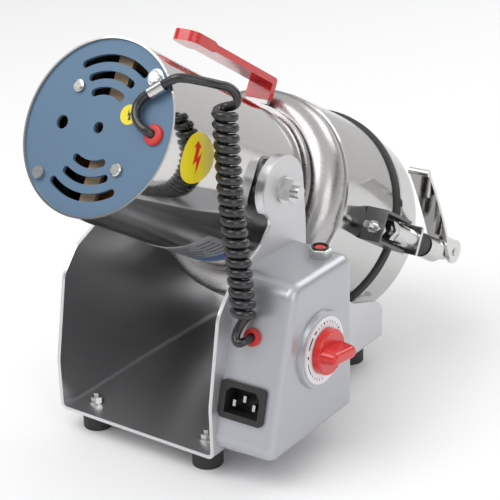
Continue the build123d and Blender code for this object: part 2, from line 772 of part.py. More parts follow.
# ---------------------------------------------------------------- bowl
shoulder_centre = (shoulder_radius - shoulder_round, bowl_back - shoulder_round)
base_wall = 3.5
inner_round = shoulder_round - base_wall
seam_drop = -(bowl_seam - shoulder_centre[1])
seam_radius = shoulder_centre[0] + (shoulder_round**2 - seam_drop**2) ** 0.5
shoulder_arc_end = (seam_radius, bowl_seam)
with BuildPart() as bowl_base:
    with BuildSketch(mill_section):
        with BuildLine():
            Polyline((bowl_bore, flange_front), (flange_radius - 3.0, flange_front),
                     (flange_radius - 3.0, bowl_back), (shoulder_centre[0], bowl_back))
            ThreePointArc((shoulder_centre[0], bowl_back),
                          (shoulder_centre[0] + shoulder_round * cos(radians(45)),
                           shoulder_centre[1] + shoulder_round * sin(radians(45))),
                          (shoulder_radius, shoulder_centre[1]))
            ThreePointArc((shoulder_radius, shoulder_centre[1]),
                          (shoulder_centre[0] + shoulder_round * cos(radians(12)),
                           shoulder_centre[1] - shoulder_round * sin(radians(12))),
                          shoulder_arc_end)
            Polyline(shoulder_arc_end, (shoulder_radius - base_wall, bowl_seam),
                     (shoulder_radius - base_wall, shoulder_centre[1]))
            ThreePointArc((shoulder_radius - base_wall, shoulder_centre[1]),
                          (shoulder_centre[0] + inner_round * cos(radians(45)),
                           shoulder_centre[1] + inner_round * sin(radians(45))),
                          (shoulder_centre[0], bowl_back - base_wall))
            Polyline((shoulder_centre[0], bowl_back - base_wall), (bowl_bore, bowl_back - base_wall),
                     (bowl_bore, flange_front))
        make_face()
    revolve(axis=mill_axis)
finish(bowl_base, "bowl_base")

bowl_outside = [
    (shoulder_radius - base_wall, bowl_seam),
    (bowl_rear_radius - 0.8, bowl_seam),
    (bowl_rear_radius, bowl_seam - 1.2),
    (bowl_rim_radius, bowl_rim),
]
with BuildPart() as bowl_wall:
    turned(bowl_outside + [
        (bowl_rim_radius - bowl_wall_thickness, bowl_rim),
        (bowl_rear_radius - bowl_wall_thickness, bowl_seam - 2.5),
        (shoulder_radius - base_wall, bowl_seam - 2.5),
    ])
finish(bowl_wall, "bowl_wall")

liner_radius = shoulder_radius - base_wall - 0.1
liner_inner = 62.0
liner_teeth = 36
with BuildPart() as toothed_liner:
    with BuildSketch(across(bowl_seam - 19.0)):
        Circle(liner_radius)
        Circle(liner_inner + 2.2, mode=Mode.SUBTRACT)
        with PolarLocations(liner_inner + 2.0, liner_teeth):
            Rectangle(4.4, 4.0)
    extrude(amount=25.0)
finish(toothed_liner, "toothed_liner")

# ---------------------------------------------------------------- rotor
blade_levels = (-52.0, -66.0, -80.0)
blade_thickness = 2.5
shaft_front = -94.0
with BuildPart() as rotor_shaft:
    disc(across(shaft_front), shaft_radius, bridge_top + 1.0 - shaft_front)
finish(rotor_shaft, "rotor_shaft")

with BuildPart() as armature:
    with BuildSketch(across(stator_front + 2.0)):
        Circle(armature_radius)
        Circle(shaft_radius, mode=Mode.SUBTRACT)
        with PolarLocations(armature_radius - 3.0, 12):
            SlotOverall(10.0, 3.0, mode=Mode.SUBTRACT)
    extrude(amount=stator_rear - stator_front - 4.0)
finish(armature, "armature")

with BuildPart() as commutator:
    disc(across(holder_z[0] - 3.0), commutator_radius, holder_z[1] - holder_z[0] + 5.0, bore=shaft_radius)
finish(commutator, "commutator")

fan_back = -14.0
with BuildPart() as cooling_fan:
    disc(across(fan_back), fan_radius, 1.6, bore=shaft_radius)
    disc(across(fan_back), 12.0, 12.0, bore=shaft_radius)
    with BuildSketch(across(fan_back + 1.0)):
        with PolarLocations(26.0, 12):
            Rectangle(26.0, 1.6)
    extrude(amount=9.0)
finish(cooling_fan, "cooling_fan")

with BuildSketch() as blade_outline:
    with BuildLine():
        Polyline((-blade_reach, -2), (-blade_reach + 22, -9), (blade_reach, -9), (blade_reach, 2),
                 (blade_reach - 22, 9), (-blade_reach, 9), close=True)
    make_face()
    Circle(shaft_radius, mode=Mode.SUBTRACT)
with BuildPart() as grinding_blades:
    for index, level in enumerate(blade_levels):
        with BuildSketch(across(level - blade_thickness)):
            add(blade_outline.sketch, rotation=60.0 * index)
        extrude(amount=blade_thickness)
finish(grinding_blades, "grinding_blades")

with BuildPart() as blade_spacers:
    disc(across(blade_levels[0]), 9.0, bowl_back - base_wall - 1.0 - blade_levels[0], bore=shaft_radius)
    for low, high in ((blade_levels[1], blade_levels[0]), (blade_levels[2], blade_levels[1])):
        disc(across(low), 9.0, high - blade_thickness - low, bore=shaft_radius)
finish(blade_spacers, "blade_spacers")

with BuildPart() as blade_nut:
    hexagon(across(shaft_front), 17.0, blade_levels[2] - blade_thickness - shaft_front, bore=shaft_radius)
    disc(across(shaft_front - 4.0), 7.0, 4.0)
finish(blade_nut, "blade_nut")

# ---------------------------------------------------------------- lid
gasket_front = bowl_rim - gasket_height
lid_face = bowl_rim - gasket_height - lid_depth
plate_rim = bowl_rim_radius - bowl_wall_thickness - 2.6
lid_outside = [
    (lid_flange_radius, gasket_front),
    (lid_flange_radius, gasket_front - lid_flange),
    (lid_side_radius, gasket_front - lid_flange),
    (lid_front_radius, lid_face + lid_corner),
]
with BuildPart() as lid_shell:
    with BuildSketch(mill_section):
        with BuildLine():
            Polyline((plate_rim - 1.5, gasket_front), *lid_outside)
            CenterArc((lid_front_radius - lid_corner, lid_face + lid_corner), lid_corner, 0, -90)
            Polyline((lid_front_radius - lid_corner, lid_face), (0, lid_face), (0, lid_face + lid_wall),
                     (lid_front_radius - lid_corner, lid_face + lid_wall))
            CenterArc((lid_front_radius - lid_corner, lid_face + lid_corner), lid_corner - lid_wall, -90, 90)
            Polyline((lid_front_radius - lid_wall, lid_face + lid_corner),
                     (lid_side_radius - lid_wall, gasket_front - lid_flange),
                     (lid_side_radius - lid_wall, gasket_front - 1.5),
                     (plate_rim - 1.5, gasket_front - 1.5), (plate_rim - 1.5, gasket_front))
        make_face()
    revolve(axis=mill_axis)
finish(lid_shell, "lid_shell")

with BuildPart() as lid_inner_plate:
    turned([(0, gasket_front + 3.0), (plate_rim, gasket_front + 3.0), (plate_rim, gasket_front),
            (plate_rim - 1.5, gasket_front), (plate_rim - 1.5, gasket_front + 1.5), (0, gasket_front + 1.5)])
finish(lid_inner_plate, "lid_inner_plate")

with BuildPart() as lid_gasket:
    turned([(plate_rim, bowl_rim - 0.02), (gasket_radius - 1.0, bowl_rim - 0.02), (gasket_radius, bowl_rim - 1.0),
            (gasket_radius, gasket_front + 1.0), (gasket_radius - 1.0, gasket_front), (plate_rim, gasket_front)])
finish(lid_gasket, "lid_gasket")

# what hinge and latch pieces are cut back to where they seat on the bowl and the lid
bowl_solid = [(0, bowl_seam)] + bowl_outside[1:] + [(gasket_radius + 0.3, bowl_rim + 0.5),
                                                     (gasket_radius + 0.3, lid_face), (0, lid_face)]
lid_solid = [(0, bowl_rim), (lid_flange_radius + free_gap, bowl_rim), (lid_flange_radius + free_gap, gasket_front),
             *lid_outside[1:], (lid_front_radius, lid_face - 5.0), (0, lid_face - 5.0)]

# ---------------------------------------------------------------- lid hinge
hinge_half = 5.8
with BuildPart() as hinge_bracket:
    block((hinge_x - 2.0, hinge_x + 16.0), (-13.0, 13.0), (hinge_z + 2.0, hinge_z + 24.0))
    disc(upward(-13.0, hinge_x, hinge_z), knuckle_radius, 26.0)
    block((hinge_x - 10.0, hinge_x + 16.0), (-hinge_half - 0.3, hinge_half + 0.3),
          (hinge_z - 10.0, hinge_z + 7.0), mode=Mode.SUBTRACT)
    turned(bowl_solid, mode=Mode.SUBTRACT)
    disc(upward(-20.0, hinge_x, hinge_z), hinge_pin_radius, 40.0, mode=Mode.SUBTRACT)
finish(hinge_bracket, "hinge_bracket", hinge_turn)

with BuildPart() as hinge_arm:
    disc(upward(-hinge_half, hinge_x, hinge_z), knuckle_radius, 2 * hinge_half)
    block((hinge_x - 3.0, hinge_x + 5.0), (-hinge_half, hinge_half), (hinge_z - 18.0, hinge_z))
    block((hinge_x - 3.0, hinge_x + 16.0), (-hinge_half, hinge_half), (hinge_z - 30.0, hinge_z - 13.0))
    turned(lid_solid, mode=Mode.SUBTRACT)
    disc(upward(-20.0, hinge_x, hinge_z), hinge_pin_radius + running_gap, 40.0, mode=Mode.SUBTRACT)
finish(hinge_arm, "hinge_arm", hinge_turn)

with BuildPart() as hinge_pin:
    disc(upward(-15.0, hinge_x, hinge_z), hinge_pin_radius, 30.0)
finish(hinge_pin, "hinge_pin", hinge_turn)

# ---------------------------------------------------------------- latch bracket, on the bowl
channel_half = sleeve_radius + 2.3  # the sleeve swings a little sideways on its way out
channel_sheet = 2.0
channel_floor = latch_x - sleeve_radius - 1.0
channel_lip = latch_x + 4.0
bracket_rear = bowl_rim + 37.0
bracket_front = bowl_rim - 1.0
bolt_x = latch_x - 1.0
bolt_y = -2.0
bracket_root = bowl_rim_radius - 2.0  # sunk to the bowl's wall, then cut to it
with BuildPart() as latch_bracket:
    block((bracket_root, channel_lip), (-channel_half - channel_sheet, channel_half + channel_sheet),
          (bracket_front, bracket_rear))
    block((channel_floor, channel_lip + 5.0), (-channel_half, channel_half),
          (bracket_front - 1.0, bracket_rear - channel_sheet), mode=Mode.SUBTRACT)
    turned(bowl_solid, mode=Mode.SUBTRACT)
    disc(across(bracket_rear - 5.0, bolt_x, bolt_y), 2.5, 10.0, mode=Mode.SUBTRACT)
finish(latch_bracket, "latch_bracket")

with BuildPart() as bracket_bolt:
    disc(across(bracket_rear - 8.0, bolt_x, bolt_y), 2.5, 22.0)
    hexagon(across(bracket_rear, bolt_x, bolt_y), 8.0, 5.0)
    hexagon(across(bracket_rear - channel_sheet - 4.0, bolt_x, bolt_y), 8.0, 4.0)
finish(bracket_bolt, "bracket_bolt")

# ---------------------------------------------------------------- latch rod and what it carries
sleeve_rear = bowl_rim + 18.0
sleeve_front = bowl_rim - 10.5
lug_rear = sleeve_front - 0.5
lug_front = lug_rear - 3.0
buffer_rear = lug_front - 1.0
buffer_front = buffer_rear - 14.0
collar_rear = buffer_front - 2.0
collar_front = collar_rear - 20.0
eye_half = 4.8
eye_radius = 7.0
pin_radius = 3.0
with BuildPart() as latch_rod:
    disc(across(latch_pin + 3.0, latch_x), rod_radius, sleeve_rear + 7.5 - latch_pin - 3.0)
    disc(sideways(latch_x - eye_half, latch_pin_up, latch_pin), eye_radius, 2 * eye_half)
    disc(sideways(latch_x - 10.0, latch_pin_up, latch_pin), pin_radius, 20.0, mode=Mode.SUBTRACT)
finish(latch_rod, "latch_rod")

with BuildPart() as latch_nut:
    hexagon(across(sleeve_rear, latch_x), 12.5, 6.0, bore=rod_radius)
finish(latch_nut, "latch_nut")

with BuildPart() as latch_sleeves:
    disc(across(sleeve_front, latch_x), sleeve_radius, sleeve_rear - sleeve_front, bore=rod_radius)
    disc(across(collar_front, latch_x), collar_radius, collar_rear - collar_front, bore=rod_radius)
finish(latch_sleeves, "latch_sleeves")

with BuildPart() as latch_buffer:
    disc(across(buffer_front, latch_x), buffer_radius, buffer_rear - buffer_front, bore=rod_radius)
finish(latch_buffer, "latch_buffer")

lug_half = 10.0
lug_root = lid_side_radius - 2.6
with BuildPart() as latch_lug:
    block((lug_root, latch_x + rod_radius + 4.0), (-lug_half, lug_half), (lug_front, lug_rear))
    block((lug_root, latch_x - collar_radius - 1.0), (-lug_half, lug_half), (lug_front - 14.0, lug_front))
    turned(lid_solid, mode=Mode.SUBTRACT)
    disc(across(lug_front - 1.0, latch_x), rod_radius, 5.0, mode=Mode.SUBTRACT)
finish(latch_lug, "latch_lug")

with BuildPart() as lever_pin:
    disc(sideways(latch_x - 8.6, latch_pin_up, latch_pin), pin_radius, 17.2)
finish(lever_pin, "lever_pin")

# ---------------------------------------------------------------- latch lever
# profile from the pin: x is up, y is rearwards
cheek = 2.6
cheek_gap = 0.3
cheek_radius = 8.5
lever_sheet = 2.2
lever_half = eye_half + cheek_gap + cheek
lever_start = (2.8, 13.0)
lever_middle = (21.6, 38.5)
lever_tip = (41.5, 71.5)
tip_roll = 2.3
lever_plane = sideways(latch_x - lever_half, latch_pin_up, latch_pin)
with BuildPart() as latch_lever:
    with BuildSketch(lever_plane):
        Circle(cheek_radius)
        with BuildLine():
            Polyline((-6.0, 5.0), (lever_start[0] - 1.0, 17.0), (lever_start[0] + 5.0, 17.0), (8.0, 0.0),
                     close=True)
        make_face()
    extrude(amount=2 * lever_half)
    with BuildSketch(sideways(latch_x - eye_half - cheek_gap, latch_pin_up, latch_pin)):
        Circle(12.0)
        with Locations((-6.0, 10.0)):
            Rectangle(14.0, 20.0)
    extrude(amount=2 * (eye_half + cheek_gap), mode=Mode.SUBTRACT)
    with BuildSketch(lever_plane):
        with BuildLine(mode=Mode.PRIVATE) as lever_line:
            ThreePointArc(lever_start, lever_middle, lever_tip)
        SlotArc(lever_line.wire(), lever_sheet)
        with Locations(lever_tip):
            Circle(tip_roll)
    extrude(amount=2 * lever_half)
    with BuildSketch(sideways(latch_x - 20.0, latch_pin_up, latch_pin)):
        Circle(pin_radius + running_gap)
    extrude(amount=40.0, mode=Mode.SUBTRACT)
finish(latch_lever, "latch_lever")

# ---------------------------------------------------------------- handle
bar_low = handle_bar_height
bar_high = handle_bar_height + handle_bar_thickness
bar_profile = [
    (flange_radius, flange_front + 0.5), (flange_radius, flange_front + 3.5), (bar_low, flange_front + 3.5),
    (bar_low, handle_rear - 6.0), (bar_high, handle_rear - 6.0), (bar_high, flange_front + 0.5),
]
with BuildPart() as handle_bar:
    with BuildSketch(mill_section):
        with BuildLine():
            Polyline(*bar_profile, close=True)
        make_face()
    extrude(amount=handle_width / 2, both=True)
finish(handle_bar, "handle_bar")

grip_low = bar_low - grip_skin
grip_high = bar_high + grip_skin
with BuildPart() as handle_grip:
    with BuildSketch(mill_section) as grip_side:
        with BuildLine():
            Polyline(
                (flange_radius + 3.0, flange_front + 0.5 - grip_skin),
                (flange_radius + 3.0, flange_front + 3.5 + grip_skin),
                (grip_low, flange_front + 3.5 + grip_skin), (grip_low, handle_rear - 26.0),
                (grip_low - 1.2, handle_rear - 22.0), (grip_low - 1.2, handle_rear),
                (grip_high + 1.2, handle_rear), (grip_high + 1.2, handle_rear - 22.0),
                (grip_high, handle_rear - 26.0), (grip_high, flange_front + 0.5 - grip_skin), close=True)
        make_face()
    extrude(amount=handle_width / 2 + grip_skin, both=True)
    tip_corners = edges().filter_by(Axis(pivot, up_dir)).sort_by(mill_axis)[-2:]
    fillet(tip_corners, 7.0)
    outer_corner = edges().filter_by(Axis.X).sort_by_distance(place(0, grip_high, flange_front))[0]
    fillet(outer_corner, 2.6)
    with BuildSketch(mill_section):
        with BuildLine():
            Polyline(*bar_profile, close=True)
        make_face()
    extrude(amount=handle_width / 2, both=True, mode=Mode.SUBTRACT)
finish(handle_grip, "handle_grip")
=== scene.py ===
import json
from math import cos, pi, radians, sin

import bpy
from mathutils import Matrix, Vector


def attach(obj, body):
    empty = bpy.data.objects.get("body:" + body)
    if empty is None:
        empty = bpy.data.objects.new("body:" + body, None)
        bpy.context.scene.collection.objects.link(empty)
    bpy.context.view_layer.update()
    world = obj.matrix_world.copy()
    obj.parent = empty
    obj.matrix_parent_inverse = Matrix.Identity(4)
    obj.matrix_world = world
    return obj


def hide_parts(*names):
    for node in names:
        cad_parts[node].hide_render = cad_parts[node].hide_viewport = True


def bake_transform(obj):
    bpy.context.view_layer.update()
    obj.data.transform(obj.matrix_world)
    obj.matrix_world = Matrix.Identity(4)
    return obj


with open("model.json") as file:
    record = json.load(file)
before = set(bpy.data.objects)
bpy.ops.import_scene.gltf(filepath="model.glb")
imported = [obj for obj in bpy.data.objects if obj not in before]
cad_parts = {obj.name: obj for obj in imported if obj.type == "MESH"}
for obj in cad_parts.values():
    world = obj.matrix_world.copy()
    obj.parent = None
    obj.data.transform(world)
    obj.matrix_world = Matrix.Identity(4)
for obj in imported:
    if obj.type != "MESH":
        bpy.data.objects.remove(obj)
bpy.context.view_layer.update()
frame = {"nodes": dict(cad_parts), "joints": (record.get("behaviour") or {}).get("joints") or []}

mm = 0.001

# the mill's own axes: across, up and towards its rear end, from the trunnions
tilt = radians(30.6)
pivot = Vector(frame["joints"][0]["pos_m"])
acrossDir = Vector((1, 0, 0))
upDir = Vector((0, sin(tilt), cos(tilt)))
rearDir = Vector((0, -cos(tilt), sin(tilt)))
millMatrix = Matrix.Translation(pivot) @ Matrix((acrossDir, upDir, rearDir)).transposed().to_4x4()


# ---- camera
cameraLook = {
    "place": (0.5513, -0.7262, 0.4859), "turn": 36.09, "height": 22.68, "roll": -1.81,
    "lens": 106.66, "sensor": 36, "clip": 0.01,
}


def addCamera():
    turn, height, roll = (radians(cameraLook[k]) for k in ("turn", "height", "roll"))
    back = Vector((sin(turn) * cos(height), -cos(turn) * cos(height), sin(height)))
    right = Vector((cos(turn), sin(turn), 0))
    above = back.cross(right)
    rolledRight = right * cos(roll) + above * sin(roll)
    rolledUp = above * cos(roll) - right * sin(roll)
    camera = bpy.data.objects.new("camera", bpy.data.cameras.new("camera"))
    camera.data.lens = cameraLook["lens"]
    camera.data.sensor_width = cameraLook["sensor"]
    camera.data.clip_start = cameraLook["clip"]
    axes = Matrix((rolledRight, rolledUp, back)).transposed().to_4x4()
    camera.matrix_world = Matrix.Translation(cameraLook["place"]) @ axes
    bpy.context.collection.objects.link(camera)
    bpy.context.scene.camera = camera


addCamera()
print("camera placed")

# ---- shared helpers


def clearPick():
    if bpy.context.object and bpy.context.object.mode != "OBJECT":
        bpy.ops.object.mode_set(mode="OBJECT")
    bpy.ops.object.select_all(action="DESELECT")


def pickOnly(piece):
    clearPick()
    piece.select_set(True)
    bpy.context.view_layer.objects.active = piece


def joinAs(name, pieces):
    clearPick()
    for piece in pieces:
        piece.select_set(True)
    bpy.context.view_layer.objects.active = pieces[0]
    bpy.ops.object.join()
    joined = bpy.context.object
    joined.name = name
    return joined


def setInPlace(piece, matrix):
    piece.data.transform(matrix @ piece.matrix_world)  # the place goes into the mesh
    piece.matrix_world = Matrix.Identity(4)
    piece.data.update()


def newNode(tree, kind, x, y, **inputs):
    node = tree.nodes.new(kind)
    node.location = (x, y)
    for key, value in inputs.items():
        node.inputs[key].default_value = value
    return node


# ---- materials
# colour and the one it is mottled with, roughness and how far it spreads, grain stretch, bump height
surface = {
    "coatRoughness": 0.12, "grainLow": 0.3, "grainHigh": 0.7, "bumpReach": 0.0004,
    "leastRough": 0.02, "outsideRough": 0.22, "mottleDetail": 5.0, "mottleBreak": 0.55,
    "grainDetail": 4.0, "grainBreak": 0.6,
}
finishes = {
    "satinSteel": {
        "color": (0.50, 0.49, 0.485), "other": (0.40, 0.39, 0.385), "metallic": 1.0,
        "roughness": 0.30, "spread": 0.10, "grain": (500, 500, 500), "bump": 0.02, "mottle": 22,
    },
    "standSteel": {
        "color": (0.72, 0.72, 0.73), "other": (0.66, 0.66, 0.675), "metallic": 1.0,
        "roughness": 0.31, "spread": 0.04, "grain": (260, 260, 260), "bump": 0.004, "mottle": 10,
        "outside": 0.0618,
    },
    "polishedSteel": {
        "color": (0.66, 0.65, 0.635), "other": (0.60, 0.59, 0.57), "metallic": 1.0,
        "roughness": 0.08, "spread": 0.05, "grain": (300, 300, 18), "bump": 0.006, "mottle": 16,
    },
    "bowlSteel": {
        "color": (0.60, 0.595, 0.59), "other": (0.53, 0.525, 0.515), "metallic": 1.0,
        "roughness": 0.13, "spread": 0.06, "grain": (60, 60, 260), "bump": 0.008, "mottle": 20,
    },
    "endPlate": {
        "color": (0.105, 0.180, 0.275), "other": (0.095, 0.165, 0.250), "metallic": 0.25,
        "roughness": 0.46, "spread": 0.08, "grain": (900, 900, 900), "bump": 0.03, "mottle": 30,
    },
    "silverPaint": {
        "color": (0.47, 0.48, 0.51), "other": (0.40, 0.41, 0.44), "metallic": 0.55,
        "roughness": 0.34, "spread": 0.08, "grain": (1500, 1500, 1500), "bump": 0.02, "mottle": 1800,
        "coat": 0.35,
    },
    "blackRubber": {
        "color": (0.018, 0.018, 0.019), "other": (0.030, 0.029, 0.028), "metallic": 0.0,
        "roughness": 0.62, "spread": 0.16, "grain": (700, 700, 700), "bump": 0.12, "mottle": 90,
    },
    "blackPlastic": {
        "color": (0.014, 0.014, 0.015), "other": (0.022, 0.022, 0.024), "metallic": 0.0,
        "roughness": 0.38, "spread": 0.12, "grain": (1600, 1600, 1600), "bump": 0.10, "mottle": 200,
    },
    "redPlastic": {
        "color": (0.66, 0.012, 0.010), "other": (0.56, 0.010, 0.010), "metallic": 0.0,
        "roughness": 0.22, "spread": 0.10, "grain": (400, 400, 400), "bump": 0.03, "mottle": 60,
        "coat": 0.4,
    },
    "redCoating": {
        "color": (0.62, 0.010, 0.012), "other": (0.52, 0.009, 0.012), "metallic": 0.0,
        "roughness": 0.20, "spread": 0.10, "grain": (160, 160, 160), "bump": 0.06, "mottle": 50,
        "coat": 0.6,
    },
    "redRubber": {
        "color": (0.60, 0.035, 0.030), "other": (0.50, 0.028, 0.028), "metallic": 0.0,
        "roughness": 0.42, "spread": 0.10, "grain": (500, 500, 500), "bump": 0.05, "mottle": 90,
    },
    "dialMetal": {
        "color": (0.78, 0.79, 0.82), "other": (0.72, 0.73, 0.76), "metallic": 0.35,
        "roughness": 0.35, "spread": 0.08, "grain": (900, 900, 900), "bump": 0.02, "mottle": 200,
    },
    "platedSteel": {
        "color": (0.66, 0.66, 0.65), "other": (0.55, 0.55, 0.54), "metallic": 1.0,
        "roughness": 0.20, "spread": 0.12, "grain": (600, 600, 600), "bump": 0.05, "mottle": 160,
    },
    "darkSteel": {
        "color": (0.10, 0.10, 0.105), "other": (0.17, 0.165, 0.16), "metallic": 0.9,
        "roughness": 0.33, "spread": 0.14, "grain": (500, 500, 500), "bump": 0.06, "mottle": 110,
    },
    "laminations": {
        "color": (0.20, 0.20, 0.21), "other": (0.12, 0.12, 0.125), "metallic": 0.9,
        "roughness": 0.45, "spread": 0.10, "grain": (10, 1200, 1200), "bump": 0.25, "mottle": 60,
    },
    "copper": {
        "color": (0.52, 0.20, 0.08), "other": (0.36, 0.13, 0.05), "metallic": 0.9,
        "roughness": 0.30, "spread": 0.12, "grain": (900, 900, 60), "bump": 0.35, "mottle": 80,
    },
    "carbon": {
        "color": (0.03, 0.03, 0.032), "other": (0.05, 0.05, 0.052), "metallic": 0.2,
        "roughness": 0.50, "spread": 0.10, "grain": (900, 900, 900), "bump": 0.10, "mottle": 200,
    },
    "tanBoard": {
        "color": (0.50, 0.36, 0.24), "other": (0.42, 0.29, 0.18), "metallic": 0.0,
        "roughness": 0.60, "spread": 0.10, "grain": (60, 900, 900), "bump": 0.15, "mottle": 140,
    },
    "cordJacket": {
        "color": (0.011, 0.011, 0.013), "other": (0.018, 0.018, 0.021), "metallic": 0.0,
        "roughness": 0.27, "spread": 0.12, "grain": (500, 500, 500), "bump": 0.05, "mottle": 70,
        "coat": 0.25,
    },
    "yellowFilm": {
        "color": (0.80, 0.66, 0.015), "other": (0.74, 0.60, 0.012), "metallic": 0.0,
        "roughness": 0.32, "spread": 0.08, "grain": (700, 700, 700), "bump": 0.03, "mottle": 60,
        "coat": 0.3,
    },
    "redInk": {
        "color": (0.66, 0.02, 0.012), "other": (0.60, 0.018, 0.012), "metallic": 0.0,
        "roughness": 0.36, "spread": 0.06, "grain": (700, 700, 700), "bump": 0.02, "mottle": 80,
    },
    "blackInk": {
        "color": (0.015, 0.015, 0.017), "other": (0.025, 0.025, 0.027), "metallic": 0.0,
        "roughness": 0.40, "spread": 0.06, "grain": (700, 700, 700), "bump": 0.02, "mottle": 80,
    },
    "blueInk": {
        "color": (0.03, 0.12, 0.34), "other": (0.04, 0.15, 0.38), "metallic": 0.3,
        "roughness": 0.30, "spread": 0.06, "grain": (700, 700, 700), "bump": 0.02, "mottle": 60,
    },
    "plateFoil": {
        "color": (0.66, 0.67, 0.69), "other": (0.58, 0.59, 0.61), "metallic": 0.8,
        "roughness": 0.32, "spread": 0.08, "grain": (600, 20, 600), "bump": 0.03, "mottle": 60,
    },
    "whiteInk": {
        "color": (0.80, 0.80, 0.82), "other": (0.74, 0.74, 0.76), "metallic": 0.0,
        "roughness": 0.42, "spread": 0.06, "grain": (700, 700, 700), "bump": 0.02, "mottle": 80,
    },
    "studioFloor": {
        "color": (0.86, 0.86, 0.865), "other": (0.84, 0.84, 0.845), "metallic": 0.0,
        "roughness": 0.55, "spread": 0.04, "grain": (60, 60, 60), "bump": 0.0, "mottle": 3,
    },
}


def makeFinish(name, look):
    material = bpy.data.materials.new(name)
    material.use_nodes = True
    tree = material.node_tree
    shader = tree.nodes["Principled BSDF"]
    shader.inputs["Metallic"].default_value = look["metallic"]
    shader.inputs["Coat Weight"].default_value = look.get("coat", 0.0)
    shader.inputs["Coat Roughness"].default_value = surface["coatRoughness"]
    place = newNode(tree, "ShaderNodeTexCoord", -1200, 0)
    mottle = newNode(tree, "ShaderNodeTexNoise", -900, 200, Scale=look["mottle"],
                     Detail=surface["mottleDetail"], Roughness=surface["mottleBreak"])
    stretch = newNode(tree, "ShaderNodeMapping", -1000, -200)
    stretch.inputs["Scale"].default_value = look["grain"]
    stretch.inputs["Rotation"].default_value = (tilt, 0, 0)
    grain = newNode(tree, "ShaderNodeTexNoise", -800, -200, Scale=1.0,
                    Detail=surface["grainDetail"], Roughness=surface["grainBreak"])
    tint = newNode(tree, "ShaderNodeMix", -400, 300)
    tint.data_type = "RGBA"
    tint.inputs[6].default_value = (*look["color"], 1)
    tint.inputs[7].default_value = (*look["other"], 1)
    gloss = newNode(tree, "ShaderNodeMapRange", -400, 0)
    gloss.inputs["From Min"].default_value = surface["grainLow"]
    gloss.inputs["From Max"].default_value = surface["grainHigh"]
    gloss.inputs["To Min"].default_value = max(surface["leastRough"], look["roughness"] - look["spread"] / 2)
    gloss.inputs["To Max"].default_value = look["roughness"] + look["spread"] / 2
    bump = newNode(tree, "ShaderNodeBump", -400, -250, Strength=look["bump"],
                   Distance=surface["bumpReach"])
    link = tree.links.new
    if "outside" in look:  # the sheet is rougher beyond this half width than inside it
        split = newNode(tree, "ShaderNodeSeparateXYZ", -900, -500)
        size = newNode(tree, "ShaderNodeMath", -700, -500)
        size.operation = "ABSOLUTE"
        beyond = newNode(tree, "ShaderNodeMath", -500, -500)
        beyond.operation = "GREATER_THAN"
        beyond.inputs[1].default_value = look["outside"]
        extra = newNode(tree, "ShaderNodeMath", -200, -100)
        extra.operation = "MULTIPLY_ADD"
        extra.inputs[1].default_value = surface["outsideRough"]
        link(place.outputs["Object"], split.inputs["Vector"])
        link(split.outputs["X"], size.inputs[0])
        link(size.outputs["Value"], beyond.inputs[0])
        link(beyond.outputs["Value"], extra.inputs[0])
        link(gloss.outputs["Result"], extra.inputs[2])
        link(extra.outputs["Value"], shader.inputs["Roughness"])
    else:
        link(gloss.outputs["Result"], shader.inputs["Roughness"])
    link(place.outputs["Object"], mottle.inputs["Vector"])
    link(place.outputs["Object"], stretch.inputs["Vector"])
    link(stretch.outputs["Vector"], grain.inputs["Vector"])
    link(mottle.outputs["Fac"], tint.inputs["Factor"])
    link(grain.outputs["Fac"], gloss.inputs["Value"])
    link(grain.outputs["Fac"], bump.inputs["Height"])
    link(tint.outputs[2], shader.inputs["Base Color"])
    link(bump.outputs["Normal"], shader.inputs["Normal"])
    return material


materials = {name: makeFinish(name, look) for name, look in finishes.items()}


def wear(piece, finishName, body):
    piece.data.materials.clear()
    piece.data.materials.append(materials[finishName])
    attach(piece, body)


# ---- power lead: out of the end plate, over the rim, down the curl and into the box
leadShape = {"diameter": 5.4, "curlRadius": 5.2, "turns": 20.0, "stepsPerTurn": 12, "firstAngle": 70,
             "coilFat": 1.1, "length": 0.78}
plateFace = 112.0
leadLevel = plateFace + 3.9
leadOut = [
    (40.7, 2.0, plateFace - 2.4), (40.7, 2.0, plateFace + 1.8), (38.0, 3.0, plateFace + 5.2),
    (33.2, 4.9, plateFace + 5.4), (27.6, 9.4, plateFace + 4.4), (25.7, 15.7, leadLevel),
    (28.2, 21.0, leadLevel), (32.5, 24.4, leadLevel), (36.7, 27.7, leadLevel),
    (41.1, 31.0, plateFace + 4.5), (45.0, 33.5, plateFace + 4.6), (48.4, 35.68, plateFace + 4.69)]
leadOver = [
    (53.0, -96.8, 255.9), (57.0, -91.8, 254.0), (60.6, -86.4, 251.8), (63.6, -81.3, 249.6),
    (66.6, -77.3, 248.0), (69.3, -75.4, 245.4), (71.2, -74.7, 241.8), (70.6, -74.9, 238.3)]
curlAxis = [(65.5, -80.0, 239.0), (67.5, -81.5, 205.0), (70.5, -83.0, 172.0), (74.6, -82.6, 137.0),
            (79.0, -86.5, 108.0)]
leadIn = [(77.9, -80.9, 108.6), (75.0, -82.2, 105.4), (73.0, -84.6, 100.6), (72.6, -87.6, 96.0),
          (75.6, -89.6, 92.9), (79.2, -86.0, 94.6), (79.35, -77.0, 94.05)]


def splineThrough(name, points, bevel=0.0, fat=()):
    curve = bpy.data.curves.new(name, "CURVE")
    curve.dimensions = "3D"
    spline = curve.splines.new("NURBS")
    spline.points.add(len(points) - 1)
    for knot, place in zip(spline.points, points):
        knot.co = (*place, 1)
    for index, share in fat:
        spline.points[index].radius = share
    spline.order_u = 3
    spline.use_endpoint_u = True
    spline.resolution_u = 4
    curve.bevel_depth = bevel
    curve.bevel_resolution = 3
    curve.use_fill_caps = bevel > 0
    line = bpy.data.objects.new(name, curve)
    bpy.context.collection.objects.link(line)
    return line


def linePoints(line):
    bpy.context.view_layer.update()
    mesh = bpy.data.meshes.new_from_object(line)
    points = [v.co.copy() for v in mesh.vertices]
    bpy.data.meshes.remove(mesh)
    return points


